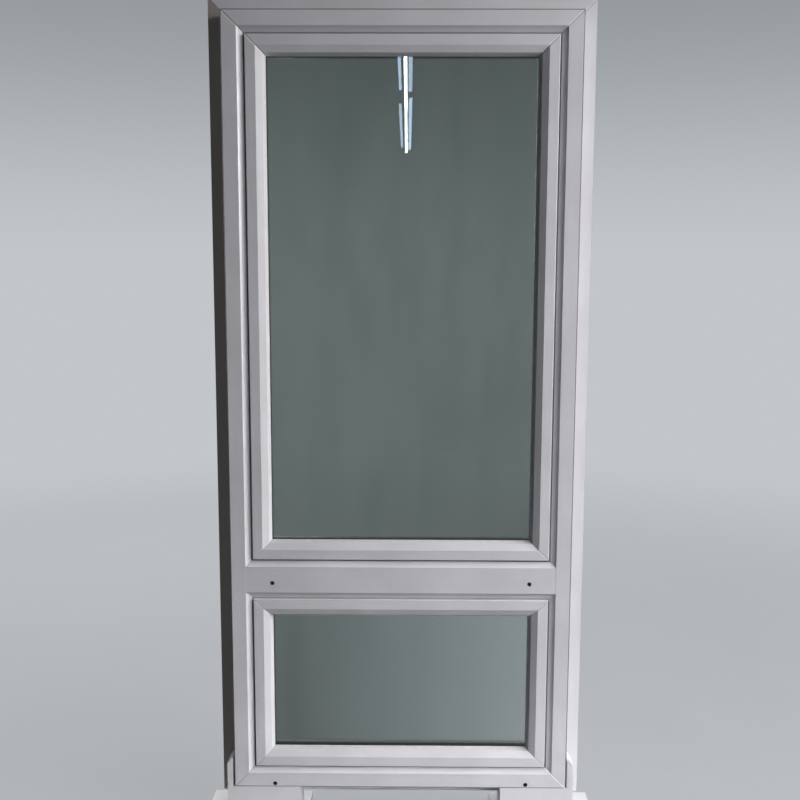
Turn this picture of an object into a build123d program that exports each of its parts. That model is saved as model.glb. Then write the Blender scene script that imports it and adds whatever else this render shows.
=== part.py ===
"""Window with a tall opening light over a short fixed light, standing on two feet.

Millimetres, Z up, floor at Z = 0. The outside face looks toward -Y and the inside toward +Y.
Every ring of the window (frame, sashes, beads, seals, gaskets) is drawn as one cross-section,
given as (inward, depth) points: inward from the edge of the ring's rectangle, depth from the
outside face of the frame. A point marked CURVE is the middle of an arc between its neighbours.
"""

import os

from build123d import *

os.makedirs("parts", exist_ok=True)

# Overall sizes
front_width = 930.0
front_height = 2100.0
frame_depth = 70.0
flange_width = 42.0
flange_thickness = 8.0

# Frame bars
frame_face = 40.5
bevel_width = 15.5
bevel_depth = 8.0
bevel_hollow = 1.6
edge_break = 1.2
weld_groove = 1.6
butt_groove = 1.6
side_groove_width = 8.0
side_groove_depth = 3.0
side_groove_margin = 13.0

# Transom, heights measured from the bottom edge of the frame's front
transom_face = 72.0
transom_middle = 601.0

# Sashes
rebate_gap = 5.0
sash_set_back = 1.5
sash_face = 27.0
sash_bevel_width = 17.0
sash_bevel_depth = 8.5
lip_slope_width = 3.1
lip_slope_depth = 5.5
glass_set_back = 24.5
glass_rebate = 33.0
overlap_width = 12.0
overlap_thickness = 8.0
overlap_gap = 3.0
overlap_bevel = 3.0

# Glass, seals and beads
pane_thickness = 4.0
pane_spacing = 16.0
pane_edge_gap = 5.0
spacer_width = 12.0
gasket_width = 4.0
inner_gasket_thickness = 2.0
inner_gasket_width = 8.0
bead_width = 17.0
bead_straight = 6.0
bead_shoulder_width = 9.0
bead_bulge = 2.5
bead_set_back = 2.0
seal_set_back = 10.0
seal_thickness = 4.0
overlap_seal_width = 5.0
overlap_seal_inset = 1.5

# Drainage holes
drain_diameter = 12.0
drain_depth = 12.0
drain_spacing = 703.0
transom_drain_height = 591.5
sill_drain_height = 9.5

# Handle and hinges on the inside of the upper sash
rosette_width = 30.0
rosette_height = 68.0
rosette_thickness = 10.0
neck_diameter = 17.0
neck_length = 34.0
grip_thickness = 13.0
grip_width = 20.0
grip_length = 128.0
handle_height_share = 0.5
hinge_width = 14.0
hinge_height = 78.0
hinge_depth = 16.0
hinge_from_corner = 30.0

# Feet
foot_depth = 260.0
board_thickness = 22.0
board_outside_block = 67.0
board_inside_block = 19.0
block_width = 204.0
block_height = 103.0
block_behind_flange = 24.0
lug_reach = 20.0
lug_gap_left = 4.5
lug_gap_right = 2.5
lug_height = 82.0
lug_chamfer_width = 11.0
lug_chamfer_height = 16.0
lug_back_gap = 2.0

# Positions that follow from the sizes
half_width = front_width / 2
front_y = -frame_depth / 2
back_y = front_y + frame_depth
frame_bottom = board_thickness + block_height
frame_top = frame_bottom + front_height
rebate_line = frame_face + bevel_width
transom_level = frame_bottom + transom_middle
transom_rebate = transom_face / 2 + bevel_width
lip_edge = sash_face + sash_bevel_width + lip_slope_width
lip_shoulder = sash_set_back + sash_bevel_depth
lip_front = lip_shoulder + lip_slope_depth
flange_front = frame_depth - flange_thickness
overlap_front = frame_depth + overlap_gap
sash_back = overlap_front + overlap_thickness
pane_edge = glass_rebate + pane_edge_gap
inner_pane_front = glass_set_back + pane_thickness + pane_spacing
glass_back = inner_pane_front + pane_thickness
bead_front = glass_back + inner_gasket_thickness
bead_edge = glass_rebate + bead_width
bead_back = sash_back - bead_set_back

# Rectangles as (half width, bottom, top)
frame_rectangle = (half_width, frame_bottom, frame_top)
upper_opening = (
    half_width - rebate_line,
    transom_level + transom_rebate,
    frame_top - rebate_line,
)
lower_opening = (
    half_width - rebate_line,
    frame_bottom + rebate_line,
    transom_level - transom_rebate,
)


def shrink(rectangle, amount):
    half, low, high = rectangle
    return (half - amount, low + amount, high - amount)


upper_sash = shrink(upper_opening, rebate_gap)
lower_sash = shrink(lower_opening, rebate_gap)

# Cross-sections
CURVE = "curve"


def curve(start, end, hollow):
    """Middle of an arc between two points: hollow, toward the back, by this much."""
    across = end[0] - start[0]
    down = end[1] - start[1]
    chord = (across**2 + down**2) ** 0.5
    middle_in = (start[0] + end[0] - 2 * hollow * down / chord) / 2
    middle_down = (start[1] + end[1] + 2 * hollow * across / chord) / 2
    return (middle_in, middle_down, CURVE)


def side_groove(low, high):
    return [(0, high), (side_groove_depth, high), (side_groove_depth, low), (0, low)]


frame_bevel = [(frame_face, 0), (rebate_line, bevel_depth)]
first_groove = side_groove(side_groove_margin, side_groove_margin + side_groove_width)
second_groove = side_groove(
    flange_front - side_groove_margin - side_groove_width,
    flange_front - side_groove_margin,
)
frame_section = [
    (0, edge_break),
    (edge_break, 0),
    frame_bevel[0],
    curve(*frame_bevel, bevel_hollow),
    frame_bevel[1],
    (rebate_line, frame_depth),
    (-flange_width, frame_depth),
    (-flange_width, flange_front),
    (0, flange_front),
    *second_groove,
    *first_groove,
]
sash_section = [
    (0, sash_set_back + edge_break),
    (edge_break, sash_set_back),
    (sash_face, sash_set_back),
    (sash_face + sash_bevel_width, lip_shoulder),
    (lip_edge, lip_front),
    (lip_edge, glass_set_back),
    (glass_rebate, glass_set_back),
    (glass_rebate, sash_back),
    (-overlap_width + overlap_bevel, sash_back),
    (-overlap_width, sash_back - overlap_bevel),
    (-overlap_width, overlap_front),
    (0, overlap_front),
]
bead_shoulder = [
    (bead_edge, bead_front + bead_straight),
    (bead_edge - bead_shoulder_width, bead_back),
]
bead_section = [
    (glass_rebate, bead_front),
    (bead_edge, bead_front),
    bead_shoulder[0],
    curve(*bead_shoulder, -bead_bulge),
    bead_shoulder[1],
    (glass_rebate, bead_back),
]
outer_gasket_section = [
    (lip_edge, lip_front),
    (lip_edge + gasket_width, glass_set_back - 1),
    (lip_edge + gasket_width, glass_set_back),
    (lip_edge, glass_set_back),
]


def strip(start, end, front, back):
    return [(start, front), (end, front), (end, back), (start, back)]


inner_gasket_section = strip(
    bead_edge - inner_gasket_width, bead_edge, glass_back, bead_front
)
spacer_section = strip(
    pane_edge,
    pane_edge + spacer_width,
    glass_set_back + pane_thickness,
    inner_pane_front,
)
rebate_seal_section = strip(
    -rebate_gap, 0, seal_set_back, seal_set_back + seal_thickness
)
overlap_seal_section = strip(
    overlap_seal_inset - overlap_width,
    overlap_seal_inset - overlap_width + overlap_seal_width,
    frame_depth,
    overlap_front,
)


def draw(section, place):
    """Closed outline of a section: lines, and arcs through the points marked CURVE."""
    loop = section + section[:1]
    corners = [index for index, point in enumerate(loop) if CURVE not in point]
    with BuildLine() as outline:
        for here, there in zip(corners, corners[1:]):
            spots = [place(*point[:2]) for point in loop[here : there + 1]]
            if len(spots) == 3:
                ThreePointArc(*spots)
            else:
                Line(*spots)
    return outline.edges()


def bar(rectangle, section, side, welded=()):
    """One mitred side of a ring.

    The mitre's edges within the depths in welded are broken, which leaves a fine groove
    where two sides meet.
    """
    half, low, high = rectangle
    least = min(point[0] for point in section)
    most = max(point[0] for point in section)
    upright = side in ("left", "right")
    start = (low if upright else -half) + least
    length = (high - low if upright else 2 * half) - 2 * least

    def place(inward, depth):
        spots = {
            "left": (-half + inward, front_y + depth),
            "right": (half - inward, front_y + depth),
            "bottom": (front_y + depth, low + inward),
            "top": (front_y + depth, high - inward),
        }
        return spots[side]

    def corner(inward, across, up):
        x = half - inward if across > 0 else -half + inward
        z = high - inward if up > 0 else low + inward
        return (x, z)

    def on_weld(edge):
        depths = [vertex.Y - front_y for vertex in edge.vertices()]
        return any(
            front - 0.01 <= min(depths) and max(depths) <= back + 0.01
            for front, back in welded
        )

    ends = {
        "left": ((-1, -1), (-1, 1)),
        "right": ((1, -1), (1, 1)),
        "bottom": ((-1, -1), (1, -1)),
        "top": ((-1, 1), (1, 1)),
    }
    first, second = ends[side]
    mitre = [
        corner(least, *first),
        corner(most, *first),
        corner(most, *second),
        corner(least, *second),
    ]
    with BuildPart() as piece:
        plane = Plane.XY if upright else Plane.YZ
        with BuildSketch(plane.offset(start)):
            make_face(draw(section, place))
        extrude(amount=length)
        with BuildSketch(Plane.XZ):
            with BuildLine():
                Polyline(*mitre, close=True)
            make_face()
        extrude(amount=foot_depth, both=True, mode=Mode.INTERSECT)
        if welded:
            mitres = piece.faces().filter_by(
                lambda face: min(abs(face.normal_at().X), abs(face.normal_at().Z)) > 0.5
            )
            chamfer(mitres.edges().filter_by(on_weld), weld_groove)
    return piece.part


def ring(rectangle, section):
    """All four sides of a thin ring as one solid."""
    with BuildPart() as piece:
        for side in ("left", "right", "bottom", "top"):
            add(bar(rectangle, section, side))
    return piece.part


def block(left, right, front, back, bottom, top):
    with BuildPart() as piece:
        with Locations(((left + right) / 2, (front + back) / 2, (bottom + top) / 2)):
            Box(right - left, back - front, top - bottom)
    return piece.part


pieces = {}

# Outer frame
frame_names = {
    "left": "frame_jamb_left",
    "right": "frame_jamb_right",
    "bottom": "frame_sill",
    "top": "frame_head",
}
for side, name in frame_names.items():
    pieces[name] = bar(
        frame_rectangle,
        frame_section,
        side,
        welded=[(0, bevel_depth), (flange_front, flange_front), (frame_depth, frame_depth)],
    )

# Transom, butted to the jambs with its bevels mitred into theirs
upper_bevel = [(transom_face / 2, 0), (transom_rebate, bevel_depth)]
lower_bevel = [(-transom_face / 2, 0), (-transom_rebate, bevel_depth)]
transom_section = [
    lower_bevel[0],
    upper_bevel[0],
    curve(*upper_bevel, bevel_hollow),
    upper_bevel[1],
    (transom_rebate, frame_depth),
    (-transom_rebate, frame_depth),
    lower_bevel[1],
    curve(*lower_bevel, -bevel_hollow),
]
with BuildPart() as transom:
    with BuildSketch(Plane.YZ.offset(-half_width + frame_face)):
        make_face(
            draw(transom_section, lambda up, depth: (front_y + depth, transom_level + up))
        )
    extrude(amount=front_width - 2 * frame_face)
    add(pieces["frame_jamb_left"], mode=Mode.SUBTRACT)
    add(pieces["frame_jamb_right"], mode=Mode.SUBTRACT)
    chamfer(transom.edges().filter_by(Axis.Z).group_by(Axis.Y)[0], butt_groove)
pieces["transom"] = transom.part

# Drainage holes
drain_rows = (
    ("transom", frame_bottom + transom_drain_height),
    ("frame_sill", frame_bottom + sill_drain_height),
)
for name, level in drain_rows:
    with BuildPart() as drained:
        add(pieces[name])
        with Locations(Plane((0, front_y, level), x_dir=(1, 0, 0), z_dir=(0, -1, 0))):
            with Locations((-drain_spacing / 2, 0), (drain_spacing / 2, 0)):
                Hole(drain_diameter / 2, depth=drain_depth)
    pieces[name] = drained.part

# Both lights: sash bars, glazing beads, sealed double glass, gaskets and the rebate seal
side_words = {
    "left": "stile_left",
    "right": "stile_right",
    "bottom": "bottom_rail",
    "top": "top_rail",
}
lights = {
    "upper": ("opening_sash", upper_sash),
    "lower": ("fixed_sash", lower_sash),
}
for level, (sash_name, sash) in lights.items():
    for side, words in side_words.items():
        pieces[f"{sash_name}_{words}"] = bar(
            sash,
            sash_section,
            side,
            welded=[(sash_set_back, lip_front), (sash_back, sash_back)],
        )
        pieces[f"{level}_bead_{side}"] = bar(sash, bead_section, side)
    pieces[f"{level}_outer_gasket"] = ring(sash, outer_gasket_section)
    pieces[f"{level}_inner_gasket"] = ring(sash, inner_gasket_section)
    pieces[f"{level}_spacer"] = ring(sash, spacer_section)
    with BuildPart() as seals:
        add(ring(sash, rebate_seal_section))
        add(ring(sash, overlap_seal_section))
    pieces[f"{level}_sash_seals"] = seals.part
    half, low, high = shrink(sash, pane_edge)
    for name, depth in (("outer", glass_set_back), ("inner", inner_pane_front)):
        front = front_y + depth
        pieces[f"{level}_{name}_pane"] = block(
            -half, half, front, front + pane_thickness, low, high
        )

# Handle on the inside, on the middle of one stile of the upper sash
sash_half, sash_low, sash_high = upper_sash
inside_y = front_y + sash_back
handle_x = sash_half - (glass_rebate - overlap_width) / 2
handle_z = sash_low + (sash_high - sash_low) * handle_height_share
with BuildPart() as rosette:
    with BuildSketch(Plane((handle_x, inside_y, handle_z), x_dir=(1, 0, 0), z_dir=(0, 1, 0))):
        RectangleRounded(rosette_width, rosette_height, rosette_width / 3)
    extrude(amount=rosette_thickness)
pieces["handle_rosette"] = rosette.part

neck_y = inside_y + rosette_thickness
with BuildPart() as neck:
    with BuildSketch(Plane((handle_x, neck_y, handle_z), x_dir=(1, 0, 0), z_dir=(0, 1, 0))):
        Circle(neck_diameter / 2)
    extrude(amount=neck_length)
pieces["handle_neck"] = neck.part

grip_y = neck_y + neck_length
with BuildPart() as grip:
    with BuildSketch(Plane((handle_x, grip_y, handle_z), x_dir=(1, 0, 0), z_dir=(0, 1, 0))):
        with Locations((0, (grip_length - grip_width) / 2)):
            RectangleRounded(grip_width, grip_length, grip_width / 2 - 1)
    extrude(amount=grip_thickness)
pieces["handle_grip"] = grip.part

# Plain hinge covers on the inside, opposite the handle, beside the edge of the sash
hinge_x = -sash_half - overlap_width - hinge_width / 2
hinge_levels = {
    "hinge_cover_lower": sash_low + hinge_from_corner + hinge_height / 2,
    "hinge_cover_upper": sash_high - hinge_from_corner - hinge_height / 2,
}
for name, level in hinge_levels.items():
    with BuildPart() as hinge:
        with Locations((hinge_x, back_y + hinge_depth / 2, level)):
            Box(hinge_width, hinge_depth, hinge_height)
        back_edges = hinge.faces().sort_by(Axis.Y)[-1].edges().filter_by(Axis.Z)
        fillet(back_edges, hinge_width / 3)
    pieces[name] = hinge.part

# Feet: a board on the floor, a stepped block under the frame and a lug beside its corner
flange_front_y = front_y + flange_front
flange_bottom = frame_bottom - flange_width
block_outer_reach = half_width + lug_reach
block_inner_reach = block_outer_reach - block_width
board_outer_reach = block_outer_reach + board_outside_block
board_inner_reach = block_inner_reach - board_inside_block
foot_sides = {"left": (-1, lug_gap_left), "right": (1, lug_gap_right)}
for word, (sign, lug_gap) in foot_sides.items():
    board_ends = sorted((sign * board_inner_reach, sign * board_outer_reach))
    pieces[f"foot_{word}_board"] = block(
        *board_ends, -foot_depth / 2, foot_depth / 2, 0, board_thickness
    )
    block_ends = sorted((sign * block_inner_reach, sign * block_outer_reach))
    with BuildPart() as support:
        with BuildSketch(Plane.YZ.offset(block_ends[0])):
            with BuildLine():
                Polyline(
                    (front_y, board_thickness),
                    (front_y, frame_bottom),
                    (flange_front_y, frame_bottom),
                    (flange_front_y, flange_bottom),
                    (back_y + block_behind_flange, flange_bottom),
                    (back_y + block_behind_flange, board_thickness),
                    close=True,
                )
            make_face()
        extrude(amount=block_ends[1] - block_ends[0])
    pieces[f"foot_{word}_block"] = support.part
    inner = half_width + lug_gap
    outer = block_outer_reach
    with BuildPart() as lug:
        with BuildSketch(Plane.XZ.offset(-front_y)):
            with BuildLine():
                Polyline(
                    (sign * inner, frame_bottom),
                    (sign * outer, frame_bottom),
                    (sign * outer, frame_bottom + lug_height - lug_chamfer_height),
                    (sign * (outer - lug_chamfer_width), frame_bottom + lug_height),
                    (sign * inner, frame_bottom + lug_height),
                    close=True,
                )
            make_face()
        extrude(amount=-(flange_front - lug_back_gap))
    pieces[f"foot_{word}_lug"] = lug.part

for name, shape in pieces.items():
    shape.label = name
    export_step(shape, f"parts/{name}.step")
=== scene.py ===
"""Finishes, studio light and camera for the window with a fixed lower light, in metres."""

import math

import bmesh
import bpy
from mathutils import Matrix, Vector


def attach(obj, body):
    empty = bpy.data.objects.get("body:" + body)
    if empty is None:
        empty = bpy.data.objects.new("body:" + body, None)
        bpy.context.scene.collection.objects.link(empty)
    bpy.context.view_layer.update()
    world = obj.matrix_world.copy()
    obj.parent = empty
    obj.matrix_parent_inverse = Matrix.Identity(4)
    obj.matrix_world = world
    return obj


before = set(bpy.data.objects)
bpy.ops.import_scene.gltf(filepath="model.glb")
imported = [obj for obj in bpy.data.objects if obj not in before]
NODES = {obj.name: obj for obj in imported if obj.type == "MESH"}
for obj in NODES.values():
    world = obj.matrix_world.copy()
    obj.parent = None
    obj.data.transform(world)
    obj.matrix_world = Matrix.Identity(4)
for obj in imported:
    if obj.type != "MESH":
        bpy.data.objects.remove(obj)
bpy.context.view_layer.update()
scene = bpy.context.scene

# colours as they are seen, 0 to 255
PLASTIC = (214, 213, 219)
PLASTIC_DUSTY = (203, 201, 205)
BOARD = (219, 218, 223)
BOARD_DUSTY = (207, 205, 208)
COVER = (218, 217, 221)
COVER_DUSTY = (210, 208, 212)
# the tone of dark specks, and of painted shade in corners, under the head and on welds
GRIME_AND_SHADE = (117, 103, 110)
ARRIS_DARK_LINE = (72, 58, 76)
WALL_SIDE_SHADE = (175, 171, 168)
LEFT_FLANGE_SHADE = (154, 147, 140)
# the tone of painted light on welds, the left bevel and the right flange
PAINTED_LIGHT = (242, 241, 244)
SEAL = (114, 98, 109)
SEAL_LIT_UPPER = (152, 138, 146)
SEAL_LIT_LOWER = (182, 172, 177)
GASKET = (206, 203, 203)
DRAIN_SHADE = (48, 35, 55)
SPACER = (44, 38, 42)
HANDLE = (216, 216, 219)
GLASS = (179, 186, 183)
GLASS_STREAK = (172, 180, 177)
GLASS_LIT_RIGHT = (219, 224, 223)
BACKDROP = (194, 198, 202)
BACKDROP_HIGH = (146, 151, 155)
FLOOR_PAINT = (150, 152, 155)
FLOOR_PAINT_WORN = (143, 145, 148)
FLOOR_UNSEEN = (96, 97, 99)

# how much lighter or darker, in the same steps, a surface is in places
SEAL_DUST = 22
SPACER_CLOUD = 16
COATING_CLOUD = -9


def linear(colour):
    """A colour written 0 to 255 as the linear values that a shader takes."""
    parts = [c / 255 for c in colour]
    parts = [p / 12.92 if p <= 0.04045 else ((p + 0.055) / 1.055) ** 2.4 for p in parts]
    return (*parts, 1.0)


def shifted(colour, steps):
    """The colour some steps lighter, or darker where steps is below 0."""
    return tuple(min(255, c + steps) for c in colour)


# The camera stands where the photograph was taken from. Its turns are in radians.
CAMERA_PLACE = Vector((0.0163, -2.6042, 1.5514))
CAMERA_YAW = -0.00756
CAMERA_PITCH = 0.12703
CAMERA_ROLL = 0.00278
CAMERA_LENS = 43.67
SENSOR_WIDTH = 36.0
SIGHT_END = 60.0


def facing(yaw, pitch, roll):
    """The camera's turn, from its yaw to the right, its pitch down and its roll."""
    ahead = math.cos(pitch)
    forward = Vector((math.sin(yaw) * ahead, math.cos(yaw) * ahead, -math.sin(pitch)))
    right = Vector((math.cos(yaw), -math.sin(yaw), 0.0))
    up = right.cross(forward)
    tilted_right = right * math.cos(roll) + up * math.sin(roll)
    tilted_up = up * math.cos(roll) - right * math.sin(roll)
    return Matrix((tilted_right, tilted_up, -forward)).transposed().to_4x4()


camera_data = bpy.data.cameras.new("camera")
camera_data.lens = CAMERA_LENS
camera_data.sensor_width = SENSOR_WIDTH
camera_data.clip_end = SIGHT_END
camera = bpy.data.objects.new("camera", camera_data)
camera_turn = facing(CAMERA_YAW, CAMERA_PITCH, CAMERA_ROLL)
camera.matrix_world = Matrix.Translation(CAMERA_PLACE) @ camera_turn
scene.collection.objects.link(camera)
scene.camera = camera


class Tree:
    """A material or world's nodes, added one at a time and linked by socket name or number."""

    def __init__(self, owner):
        owner.use_nodes = True
        self.tree = owner.node_tree
        self.tree.nodes.clear()

    def add(self, kind, settings=None, **sockets):
        node = self.tree.nodes.new("ShaderNode" + kind)
        for name, value in (settings or {}).items():
            setattr(node, name, value)
        for name, value in sockets.items():
            self.put(node, name.replace("_", " "), value)
        return node

    def put(self, node, socket_key, value):
        socket = node.inputs[socket_key]
        if isinstance(value, bpy.types.NodeSocket):
            self.tree.links.new(value, socket)
        else:
            socket.default_value = value

    def put_first(self, node, values):
        """The values into the node's first sockets, in order."""
        for index, value in enumerate(values):
            self.put(node, index, value)

    def math(self, operation, *values):
        node = self.add("Math", {"operation": operation})
        self.put_first(node, values)
        return node.outputs[0]

    def times(self, first, *others):
        """The product of all the values."""
        product = first
        for other in others:
            product = self.math("MULTIPLY", product, other)
        return product

    def coordinates(self, scale=(1.0, 1.0, 1.0)):
        """Places on the part in metres, stretched by scale."""
        place = self.add("TexCoord").outputs["Object"]
        return self.add("Mapping", Vector=place, Scale=scale).outputs[0]

    def place(self):
        """The X, Y and Z of a place on the part, in metres."""
        return self.add("SeparateXYZ", Vector=self.coordinates()).outputs

    def noise(self, scale, detail=3.0, roughness=0.5, stretch=(1.0, 1.0, 1.0)):
        where = self.coordinates(stretch)
        node = self.add("TexNoise", Vector=where, Scale=scale, Detail=detail, Roughness=roughness)
        return node.outputs[0]

    def spread(self, value, low, high, to_low=0.0, to_high=1.0, smooth=True):
        """The value between low and high, spread to between to_low and to_high."""
        settings = {"interpolation_type": "SMOOTHSTEP" if smooth else "LINEAR"}
        node = self.add("MapRange", settings)
        self.put_first(node, (value, low, high, to_low, to_high))
        return node.outputs[0]

    def past(self, value, span):
        """0 before the span, 1 past it."""
        return self.spread(value, *span)

    def before(self, value, span):
        """1 before the span, 0 past it."""
        return self.spread(value, *span, 1.0, 0.0)

    def mix(self, share, first, second, blend="MIX"):
        """The first colour where share is 0, and the second, or their blend, where it is 1."""
        node = self.add("Mix", {"data_type": "RGBA", "blend_type": blend})
        self.put(node, 0, share)
        self.put(node, 6, first)
        self.put(node, 7, second)
        return node.outputs[2]

    def mix_shaders(self, share, first, second):
        node = self.add("MixShader")
        self.put_first(node, (share, first, second))
        return node.outputs[0]

    def bump(self, height, strength, distance, normal=None):
        node = self.add("Bump", Height=height, Strength=strength, Distance=distance)
        if normal is not None:
            self.put(node, "Normal", normal)
        return node.outputs[0]

    def surface(self, shader, kind="OutputMaterial"):
        self.put(self.add(kind), "Surface", shader)

    def principled(self, **sockets):
        self.surface(self.add("BsdfPrincipled", **sockets).outputs[0])


# the frame's outline and sections, in metres; X is 0 in the middle and Y is 0 halfway through
RIGHT = 1.0
LEFT = -1.0
FRONT_FACE = -0.035
FRAME_SIDE = 0.465
FRAME_TOP = 2.225
FRAME_BOTTOM = 0.125
FLANGE_FRONT = 0.027
FLANGE_WIDTH = 0.042
BEVEL_MIDDLE = 0.0455 - FRAME_SIDE
BEVEL_FOOT = 0.0560 - FRAME_SIDE
HEAD_BEVEL_TOP = FRAME_TOP - 0.0405
HEAD_BEVEL_FOOT = FRAME_TOP - 0.0560
WELD_REACH = 0.0042

# Spans over which a mask goes from one look to the other: depths are along Y, heights along Z,
# and the others are distances past the outline of the frame's front.
ARRIS_DEPTH = (FRONT_FACE + 0.002, FRONT_FACE + 0.003)
ARRIS_EDGE = (-0.0028, -0.0020)
SIDE_START_DEPTH = (FRONT_FACE + 0.003, FRONT_FACE + 0.005)
SIDE_END_DEPTH = (FLANGE_FRONT - 0.0010, FLANGE_FRONT - 0.0004)
SIDE_EDGE = (-0.0045, -0.0035)
RIM_EDGE = (FLANGE_WIDTH - 0.0006, FLANGE_WIDTH - 0.0002)
FLANGE_START = (FRAME_SIDE + 0.0002, FRAME_SIDE + 0.0010)
FLANGE_DEPTH = (FLANGE_FRONT + 0.004, FLANGE_FRONT + 0.006)
BEVEL_LOWER_PART = (BEVEL_MIDDLE, BEVEL_FOOT)
BEVEL_END = (BEVEL_FOOT + 0.0004, BEVEL_FOOT + 0.0010)
BEVEL_DEPTH = (FRONT_FACE + 0.010, FRONT_FACE + 0.012)
HEAD_BEVEL_START = (HEAD_BEVEL_FOOT - 0.0012, HEAD_BEVEL_FOOT - 0.0004)
HEAD_BEVEL_END = (HEAD_BEVEL_TOP - 0.0004, HEAD_BEVEL_TOP + 0.0004)
WELD_EDGE = (WELD_REACH - 0.0006, WELD_REACH)
WELD_HALF = (0.0, 0.05)
UPPER_SEAL_TOP = (2.159, 2.1595)
LOWER_SEAL_TOP = (0.664, 0.6645)
GLASS_ACROSS = (-0.30, 0.36)

# the share of each mark's colour
ARRIS_SHARE = 0.9
RIGHT_FLANGE_LIGHT_SHARE = 0.2
WELD_HIGHLIGHT_SHARE = 0.5
WELD_SHADE_SHARE = 0.22
LOW_WELD_HIGHLIGHT_SHARE = 0.9
# how much painted shade lies under the head, at its bevel's foot and at its top
HEAD_SHADE_FOOT = 0.34
HEAD_SHADE_TOP = 0.13


def past_edge(t):
    """How far a place lies outside the outline of the frame's front, and its depth, in metres."""
    x, y, z = t.place()
    across = t.math("SUBTRACT", t.math("ABSOLUTE", x), FRAME_SIDE)
    above = t.math("SUBTRACT", z, FRAME_TOP)
    below = t.math("SUBTRACT", FRAME_BOTTOM, z)
    past = t.math("MAXIMUM", t.math("MAXIMUM", above, below), across)
    return past, y


def outer_arris(t):
    """1 on the arris round the frame's front, which is painted with a dark line, and 0 elsewhere.
    """
    past, depth = past_edge(t)
    return t.times(t.past(past, ARRIS_EDGE), t.before(depth, ARRIS_DEPTH))


def wall_side(t):
    """1 on the frame's outer sides, which stand in the wall and get painted shade, and 0 elsewhere.
    """
    past, depth = past_edge(t)
    behind = t.past(depth, SIDE_START_DEPTH)
    ahead = t.before(depth, SIDE_END_DEPTH)
    side = t.times(behind, ahead, t.past(past, SIDE_EDGE))
    return t.math("MAXIMUM", side, t.past(past, RIM_EDGE))


def flange_front(t, side):
    """1 on the front of the flange on one side, and 0 elsewhere."""
    place = t.place()
    outside = t.past(t.times(place["X"], side), FLANGE_START)
    return t.times(outside, t.before(place["Y"], FLANGE_DEPTH))


def left_bevel(t):
    """The lower part of the left jamb's bevel, which gets painted light towards its foot: 1 there
    and 0 elsewhere.
    """
    place = t.place()
    lower = t.past(place["X"], BEVEL_LOWER_PART)
    inside = t.before(place["X"], BEVEL_END)
    return t.times(lower, inside, t.before(place["Y"], BEVEL_DEPTH))


def weld_line(t, side, low=False):
    """1 along the mitre of a top or low corner on one side, and 0 elsewhere."""
    place = t.place()
    across = t.math("SUBTRACT", t.math("ABSOLUTE", place["X"]), FRAME_SIDE)
    if low:
        beyond = t.math("SUBTRACT", FRAME_BOTTOM, place["Z"])
    else:
        beyond = t.math("SUBTRACT", place["Z"], FRAME_TOP)
    away = t.math("ABSOLUTE", t.math("SUBTRACT", across, beyond))
    return t.times(t.before(away, WELD_EDGE), t.past(t.times(place["X"], side), WELD_HALF))


def shade_under_head(t):
    """Painted shade under the frame's head: none above its bevel and most at the bevel's foot."""
    height = t.place()["Z"]
    amount = t.spread(
        height, HEAD_BEVEL_FOOT, HEAD_BEVEL_TOP, HEAD_SHADE_FOOT, HEAD_SHADE_TOP, smooth=False
    )
    return t.times(t.past(height, HEAD_BEVEL_START), amount, t.before(height, HEAD_BEVEL_END))


def top_weld_light_and_shade(t, colour, side):
    """Adds the marks of the top welds: a painted highlight on one side and painted shade on the
    other.
    """
    light = t.times(weld_line(t, side), WELD_HIGHLIGHT_SHARE)
    dark = t.times(weld_line(t, -side), WELD_SHADE_SHARE)
    return t.mix(dark, t.mix(light, colour, linear(PAINTED_LIGHT)), linear(GRIME_AND_SHADE))


def flat_marks(t, colour):
    """Adds the marks of the head and the sill: painted shade under the head, and a painted
    highlight along one weld at the sill.
    """
    colour = t.mix(shade_under_head(t), colour, linear(GRIME_AND_SHADE))
    # painted highlight along the sill's right weld
    weld = t.times(weld_line(t, RIGHT, low=True), LOW_WELD_HIGHLIGHT_SHARE)
    return t.mix(weld, colour, linear(PAINTED_LIGHT))


def upright_marks(t, colour):
    """Adds the marks of the jambs: painted light on the left bevel and the right flange, painted
    shadow on the left flange.
    """
    # painted light on the lower part of the left bevel
    colour = t.mix(left_bevel(t), colour, linear(PAINTED_LIGHT))
    # painted light on the right flange
    right_flange = t.times(flange_front(t, RIGHT), RIGHT_FLANGE_LIGHT_SHARE)
    colour = t.mix(right_flange, colour, linear(PAINTED_LIGHT))
    # painted shadow on the left flange
    return t.mix(flange_front(t, LEFT), colour, linear(LEFT_FLANGE_SHADE))


# how a texture is stretched: drawn out along the bar, not at all, or a little up the glass
ALONG_X = (0.03, 1.0, 1.0)
ALONG_Z = (1.0, 1.0, 0.03)
EVERY_WAY = (1.0, 1.0, 1.0)
UP_THE_PANE = (1.0, 1.0, 0.25)

REFRACTION = 1.5
DUST_SHARE = 0.7
SPECK_SHARE = 0.35
CORNER_REACH = 0.007
CORNER_SAMPLES = 8
GRIME_ROUGHNESS = 0.3

# heights of the relief in metres
WAVE = 0.0006
DRAWN_LINE = 0.00008
FINE_GRAIN = 0.00008
RUBBER_GRAIN = 0.0002
GLASS_WAVE = 0.0002
BAR_GRAIN = 0.0002
ORANGE_PEEL = 0.00012


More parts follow.
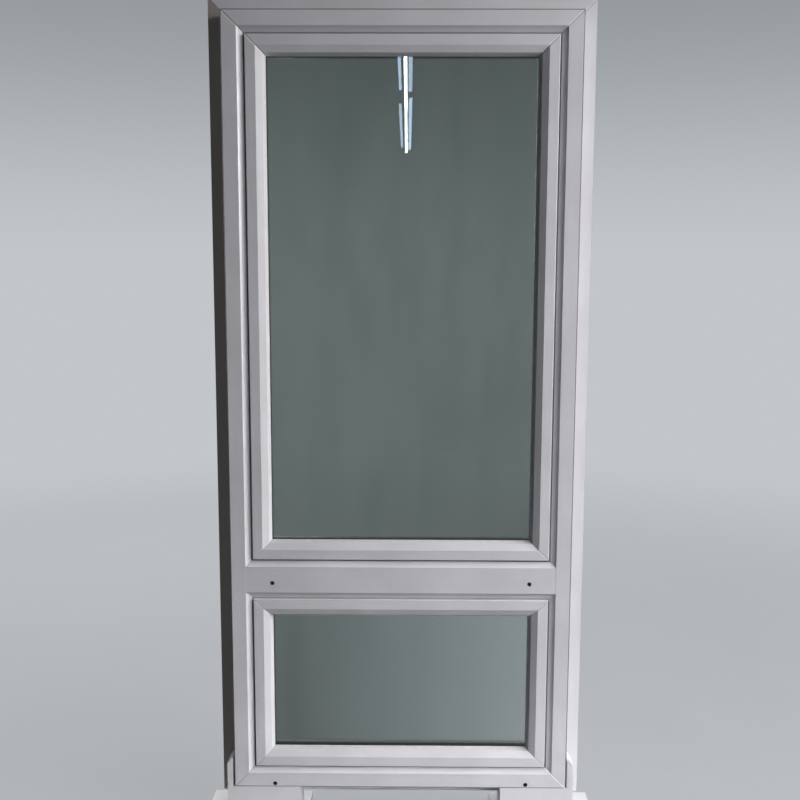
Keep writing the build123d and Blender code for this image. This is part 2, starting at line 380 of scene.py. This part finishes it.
def plastic(
    name,
    run,
    tone=PLASTIC,
    dusty=PLASTIC_DUSTY,
    rough=0.36,
    corner_shade_amount=0.3,
    weld_lit_side=None,
    frame_marks=None,
):
    """Satin extruded plastic: cloudy tone, faint draw lines along the bar, dark specks, and painted
    shade in the corners.
    """
    made = bpy.data.materials.new(name)
    t = Tree(made)
    cloud = t.spread(t.noise(5.0, detail=4.0, roughness=0.55), 0.35, 0.68)
    streak = t.spread(t.noise(170.0, roughness=0.6, stretch=run), 0.3, 0.72)
    fine = t.noise(900.0, detail=2.0)
    colour = t.mix(t.times(cloud, DUST_SHARE), linear(tone), linear(dusty))
    lines = t.spread(streak, 0.0, 1.0, 0.98, 1.01, smooth=False)
    lines_grey = t.add("CombineColor", Red=lines, Green=lines, Blue=lines).outputs[0]
    colour = t.mix(1.0, colour, lines_grey, "MULTIPLY")
    speck = t.spread(t.noise(210.0, detail=2.0, roughness=0.4), 0.73, 0.80)
    colour = t.mix(t.times(speck, SPECK_SHARE), colour, linear(GRIME_AND_SHADE))
    # painted shade: corners and recesses that ambient occlusion finds are darkened, and made
    # rougher
    corner = t.add(
        "AmbientOcclusion", {"samples": CORNER_SAMPLES, "only_local": False}, Distance=CORNER_REACH
    )
    closed = t.spread(corner.outputs["AO"], 0.06, 0.48, 1.0, 0.0)
    patchy = t.spread(t.noise(28.0, detail=4.0, roughness=0.6), 0.25, 0.7, 0.55, 1.0)
    corner_shade = t.times(closed, patchy, corner_shade_amount)
    colour = t.mix(corner_shade, colour, linear(GRIME_AND_SHADE))
    # painted highlight and painted shade along the top welds
    if weld_lit_side is not None:
        colour = top_weld_light_and_shade(t, colour, weld_lit_side)
    if frame_marks is not None:
        colour = t.mix(t.times(outer_arris(t), ARRIS_SHARE), colour, linear(ARRIS_DARK_LINE))
        colour = frame_marks(t, colour)
        # painted shade on the frame's outer sides, patchy
        side_shade_patch = t.spread(t.noise(6.0, detail=5.0, roughness=0.6), 0.3, 0.7, 0.8, 1.0)
        colour = t.mix(t.times(wall_side(t), side_shade_patch), colour, linear(WALL_SIDE_SHADE))
    polish = t.noise(14.0, detail=5.0, roughness=0.65)
    polish = t.spread(polish, 0.3, 0.7, rough - 0.06, rough + 0.09)
    roughness = t.math("ADD", polish, t.times(corner_shade, GRIME_ROUGHNESS))
    relief = t.bump(t.noise(7.0, detail=2.0, roughness=0.4), 0.25, WAVE)
    relief = t.bump(streak, 0.12, DRAWN_LINE, relief)
    relief = t.bump(fine, 0.12, FINE_GRAIN, relief)
    t.principled(Base_Color=colour, Roughness=roughness, Normal=relief, IOR=REFRACTION)
    return made


def rubber(name, tone, rough=0.62, top=None, lit_top_tone=None):
    """Extruded seal: matt, faintly dusty, with fine lines, and lighter past the height top, as
    painted light.
    """
    made = bpy.data.materials.new(name)
    t = Tree(made)
    dust = t.spread(t.noise(60.0, detail=4.0, roughness=0.6), 0.35, 0.75)
    colour = t.mix(t.times(dust, 0.6), linear(tone), linear(shifted(tone, SEAL_DUST)))
    if top is not None:
        # painted light on the seal's top run
        colour = t.mix(t.past(t.place()["Z"], top), colour, linear(lit_top_tone))
    roughness = t.spread(dust, 0.0, 1.0, rough - 0.08, rough + 0.12, smooth=False)
    relief = t.bump(t.noise(500.0, detail=2.0), 0.2, RUBBER_GRAIN)
    t.principled(Base_Color=colour, Roughness=roughness, Normal=relief, IOR=REFRACTION)
    return made


def glazing(name, lit_rightwards=False):
    """Clear float glass, tinted grey green, with a slight wave and dried streaks.

    The lower light's glass is less tinted towards its right: painted light.
    """
    made = bpy.data.materials.new(name)
    t = Tree(made)
    streaks = t.noise(9.0, detail=4.0, roughness=0.6, stretch=UP_THE_PANE)
    colour = t.mix(t.spread(streaks, 0.35, 0.75), linear(GLASS), linear(GLASS_STREAK))
    if lit_rightwards:
        # painted light: the tint lightens across the pane towards its right
        share = t.spread(t.place()["X"], *GLASS_ACROSS, smooth=False)
        colour = t.mix(share, colour, linear(GLASS_LIT_RIGHT))
    smear = t.spread(t.noise(4.0, detail=5.0, roughness=0.65), 0.45, 0.8, 0.0, 0.005)
    relief = t.bump(t.noise(2.2, detail=1.0, roughness=0.3), 0.1, GLASS_WAVE)
    t.principled(
        Base_Color=colour,
        Roughness=smear,
        Normal=relief,
        IOR=REFRACTION,
        Transmission_Weight=1.0,
    )
    return made


def metal_bar(name, tone):
    """The dark bar between the panes, faintly cloudy."""
    made = bpy.data.materials.new(name)
    t = Tree(made)
    cloud = t.spread(t.noise(30.0), 0.3, 0.7)
    colour = t.mix(cloud, linear(tone), linear(shifted(tone, SPACER_CLOUD)))
    roughness = t.spread(t.noise(80.0), 0.3, 0.7, 0.34, 0.52)
    relief = t.bump(t.noise(350.0, detail=2.0), 0.2, BAR_GRAIN)
    t.principled(Base_Color=colour, Roughness=roughness, Normal=relief, IOR=REFRACTION)
    return made


def coated(name, tone, rough):
    """White powder-coated metal: fine orange peel and a soft shine."""
    made = bpy.data.materials.new(name)
    t = Tree(made)
    cloud = t.spread(t.noise(25.0), 0.3, 0.7)
    colour = t.mix(cloud, linear(tone), linear(shifted(tone, COATING_CLOUD)))
    roughness = t.spread(t.noise(60.0), 0.3, 0.7, rough - 0.05, rough + 0.07)
    relief = t.bump(t.noise(700.0, detail=1.0, roughness=0.4), 0.3, ORANGE_PEEL)
    t.principled(
        Base_Color=colour,
        Roughness=roughness,
        Normal=relief,
        IOR=REFRACTION,
        Coat_Weight=0.25,
        Coat_Roughness=0.12,
    )
    return made


plastic_flat = plastic("plastic_across", ALONG_X, weld_lit_side=RIGHT)
plastic_upright = plastic("plastic_upright", ALONG_Z, weld_lit_side=LEFT)
frame_flat = plastic("frame_across", ALONG_X, weld_lit_side=RIGHT, frame_marks=flat_marks)
frame_upright = plastic("frame_upright", ALONG_Z, weld_lit_side=LEFT, frame_marks=upright_marks)
plastic_board = plastic("faced_board", EVERY_WAY, BOARD, BOARD_DUSTY, rough=0.42, corner_shade_amount=0.35)
plastic_cover = plastic("cover_plastic", ALONG_Z, COVER, COVER_DUSTY, rough=0.3)
glass_upper = glazing("glass")
glass_lower = glazing("glass_lower", lit_rightwards=True)
seal_upper = rubber("seal_upper", SEAL, top=UPPER_SEAL_TOP, lit_top_tone=SEAL_LIT_UPPER)
seal_lower = rubber("seal_lower", SEAL, top=LOWER_SEAL_TOP, lit_top_tone=SEAL_LIT_LOWER)
gasket_grey = rubber("gasket_grey", GASKET, rough=0.5)
spacer_dark = metal_bar("spacer_dark", SPACER)
handle_white = coated("handle_white", HANDLE, rough=0.28)
# painted shade inside the drainage holes
drain_shade = rubber("drain_shade", DRAIN_SHADE, rough=0.7)


def finish_of(name):
    """The material of one CAD node, from what the node is."""
    lower = name.startswith("lower_")
    if name.startswith("foot_"):
        return plastic_board
    if name.startswith("hinge_cover"):
        return plastic_cover
    if name.startswith("handle_"):
        return handle_white
    if name.endswith("_pane"):
        return glass_lower if lower else glass_upper
    if name.endswith("_spacer"):
        return spacer_dark
    if name.endswith("_seals"):
        return seal_lower if lower else seal_upper
    if name.endswith("_gasket"):
        return gasket_grey
    upright = name.endswith(("_left", "_right"))
    if name.startswith("frame_"):
        return frame_upright if upright else frame_flat
    return plastic_upright if upright else plastic_flat


for name, node in NODES.items():
    finish = finish_of(name)
    for slot in node.material_slots:
        slot.material = finish
    if not node.material_slots:
        node.data.materials.append(finish)


def add_piece(name, shape):
    """A new object in the scene, from a bmesh that is then freed."""
    mesh = bpy.data.meshes.new(name)
    shape.to_mesh(mesh)
    shape.free()
    piece = bpy.data.objects.new(name, mesh)
    scene.collection.objects.link(piece)
    return piece


# drainage holes in the transom and the sill, each lined with a dark cup of painted shade
DRAIN_SPREAD = 0.3515
DRAIN_HEIGHTS = {"upper": 0.7165, "lower": 0.1345}
DRAIN_RADIUS = 0.0059
DRAIN_INSET = 0.0012
DRAIN_DEPTH = 0.0108
# how the chamber's wall curves into its end: inwards from the wall, and short of the end
DRAIN_CURVE = ((0.0, 0.0016), (0.0005, 0.0005), (0.0018, 0.0))
DRAIN_MIDDLE = 0.0004
SEGMENTS = 40


def drain_chamber(name, x, z):
    """A thin dark cup of painted shade that lines a drainage hole, rounded where its wall meets its
    end.
    """
    shape = bmesh.new()
    profile = [(DRAIN_RADIUS, DRAIN_INSET)]
    for inward, short in DRAIN_CURVE:
        profile.append((DRAIN_RADIUS - inward, DRAIN_DEPTH - short))
    profile.append((DRAIN_MIDDLE, DRAIN_DEPTH))
    rings = []
    for radius, depth in profile:
        ring = []
        for step in range(SEGMENTS):
            turn = 2 * math.pi * step / SEGMENTS
            across = x + radius * math.cos(turn)
            height = z + radius * math.sin(turn)
            ring.append(shape.verts.new((across, FRONT_FACE + depth, height)))
        rings.append(ring)
    for near, far in zip(rings, rings[1:]):
        for step in range(SEGMENTS):
            after = (step + 1) % SEGMENTS
            shape.faces.new((near[step], near[after], far[after], far[step]))
    shape.faces.new(rings[-1])
    bmesh.ops.recalc_face_normals(shape, faces=shape.faces)
    for face in shape.faces:
        face.smooth = True
    piece = add_piece(name, shape)
    piece.data.materials.append(drain_shade)
    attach(piece, "root")


for level, height in DRAIN_HEIGHTS.items():
    for side, sign in (("left", LEFT), ("right", RIGHT)):
        drain_chamber(f"drain_{level}_{side}", sign * DRAIN_SPREAD, height)

# a round pale floor, which fades into the colour of the horizon
FLOOR_RADIUS = 55.0
FLOOR_STEPS = 96
FLOOR_LIFT = 0.68
HORIZON = (1.0, 6.0)


def round_floor():
    shape = bmesh.new()
    bmesh.ops.create_circle(shape, cap_ends=True, radius=FLOOR_RADIUS, segments=FLOOR_STEPS)
    return add_piece("floor", shape)


def seen_directly(t):
    """1 for a ray from the camera, or one that a mirror or glass passes on, 0 for the others."""
    ray = t.add("LightPath").outputs
    either = t.math("MAXIMUM", ray["Is Camera Ray"], ray["Is Glossy Ray"])
    return t.math("MAXIMUM", either, ray["Is Transmission Ray"])


def floor_finish():
    """Grey paint that keeps the shadows, and is lifted to a pale tone where it is seen."""
    made = bpy.data.materials.new("floor_paint")
    t = Tree(made)
    away = t.add("VectorMath", {"operation": "LENGTH"})
    t.put(away, 0, t.coordinates())
    far = t.past(away.outputs["Value"], HORIZON)
    worn = t.spread(t.noise(2.5, detail=4.0, roughness=0.6), 0.3, 0.7)
    tone = t.mix(worn, linear(FLOOR_PAINT), linear(FLOOR_PAINT_WORN))
    seen = seen_directly(t)
    tone = t.mix(seen, linear(FLOOR_UNSEEN), tone)
    paint = t.add("BsdfDiffuse", Color=tone).outputs[0]
    glow = t.add("Emission", Color=linear(BACKDROP), Strength=1.0).outputs[0]
    lift = t.spread(far, 0.0, 1.0, FLOOR_LIFT, 1.0, smooth=False)
    t.surface(t.mix_shaders(t.times(seen, lift), paint, glow))
    return made


floor = round_floor()
floor.data.materials.append(floor_finish())

# The world shows pale grey where it is seen, a little deeper overhead, and lights the part softly.
AMBIENT = 0.004
AMBIENT_WHITE = (1.0, 1.0, 1.0, 1.0)
OVERHEAD = (0.0, 0.3)
world = bpy.data.worlds.new("studio")
scene.world = world
w = Tree(world)
direction = w.add("TexCoord").outputs["Generated"]
rise = w.add("SeparateXYZ", Vector=direction).outputs["Z"]
sky = w.mix(w.past(rise, OVERHEAD), linear(BACKDROP), linear(BACKDROP_HIGH))
seen_sky = w.add("Background", Color=sky, Strength=1.0).outputs[0]
ambient = w.add("Background", Color=AMBIENT_WHITE, Strength=AMBIENT).outputs[0]
w.surface(w.mix_shaders(seen_directly(w), ambient, seen_sky), "OutputWorld")

# the studio panels light everything but the panes, which show only the row of tubes
not_panes = bpy.data.collections.new("not_panes")
for name, node in NODES.items():
    if name.endswith("_pane"):
        not_panes.objects.link(node)
for member in not_panes.collection_objects:
    member.light_linking.link_state = "EXCLUDE"

WHITE = (1.0, 1.0, 1.0)
BLUISH = (0.55, 0.75, 1.0)
WIDE_OPEN = 180.0


def lamp(name, place, target, size, power, beam=WIDE_OPEN, colour=WHITE):
    """A rectangular lamp aimed at a point: width and height in metres, watts, beam in degrees."""
    data = bpy.data.lights.new(name, "AREA")
    data.shape = "RECTANGLE"
    data.size, data.size_y = size
    data.energy = power
    data.color = colour
    data.spread = math.radians(beam)
    made = bpy.data.objects.new(name, data)
    made.location = place
    aim = Vector(target) - Vector(place)
    made.rotation_euler = aim.to_track_quat("-Z", "Y").to_euler()
    made.visible_camera = False
    made.visible_transmission = False
    scene.collection.objects.link(made)
    return made


def panel(name, place, target, size, power, beam=WIDE_OPEN):
    """A lamp that doesn't show in the panes."""
    made = lamp(name, place, target, size, power, beam)
    made.light_linking.receiver_collection = not_panes


# soft panels on the right: a broad one tilted down, two beside it, and two near the floor
KEY_PLACE = Vector((3.2, -1.95, 2.8))
KEY_TILT = 1.25
KEY_AIM = KEY_PLACE - Vector((math.cos(KEY_TILT), 0.0, math.sin(KEY_TILT)))
panel("key", KEY_PLACE, KEY_AIM, size=(3.3, 2.0), power=188.0)
panel("high", (2.0, -1.0, 3.3), (0.0, 0.0, 1.0), size=(1.4, 1.4), power=7.0)
panel("side", (3.0, -0.9, 2.0), (-0.3, 0.0, 0.6), size=(1.2, 1.4), power=24.0, beam=110.0)
panel("low", (1.5, -1.1, 0.6), (-0.3, 0.0, 0.0), size=(0.6, 0.6), power=1.4, beam=90.0)
panel("foot", (1.3, -1.5, 0.25), (-0.2, 0.0, 0.0), size=(0.6, 0.3), power=1.1, beam=50.0)

# A row of ceiling tubes far behind the camera, with a bluish reflector on each side. Each has its
# offset to the right, its width, its brightness against the tube's, and its far and near ends.
TUBE_X = -0.012
TUBE_Z = 3.5
TUBE_POWER = 69.0
TUBES = (
    ("middle", 0.0, 0.034, 2.1, WHITE, (-13.30, -5.60)),
    ("left_near", -0.056, 0.028, 0.62, BLUISH, (-8.00, -5.60)),
    ("left_far", -0.066, 0.034, 0.50, BLUISH, (-12.60, -8.80)),
    ("right_near", 0.048, 0.036, 0.58, BLUISH, (-8.10, -5.60)),
    ("right_far", 0.052, 0.040, 0.72, BLUISH, (-12.90, -8.45)),
)
for tube, offset, width, brightness, colour, (far, near) in TUBES:
    spot = Vector((TUBE_X + offset, (far + near) / 2, TUBE_Z))
    below = spot - Vector((0.0, 0.0, 1.0))
    power = TUBE_POWER * brightness * width * (near - far)
    lamp(f"tube_{tube}", spot, below, (width, near - far), power, colour=colour)

# the inner side and the left edge have their own soft light, which doesn't reach the front
panel("rear", (-1.6, 3.2, 2.3), (0.0, 0.0, 1.1), size=(2.4, 1.8), power=95.0)
panel("left", (-3.0, 0.9, 1.9), (0.0, 0.3, 1.0), size=(1.0, 1.6), power=20.0)

scene.view_settings.view_transform = "Standard"
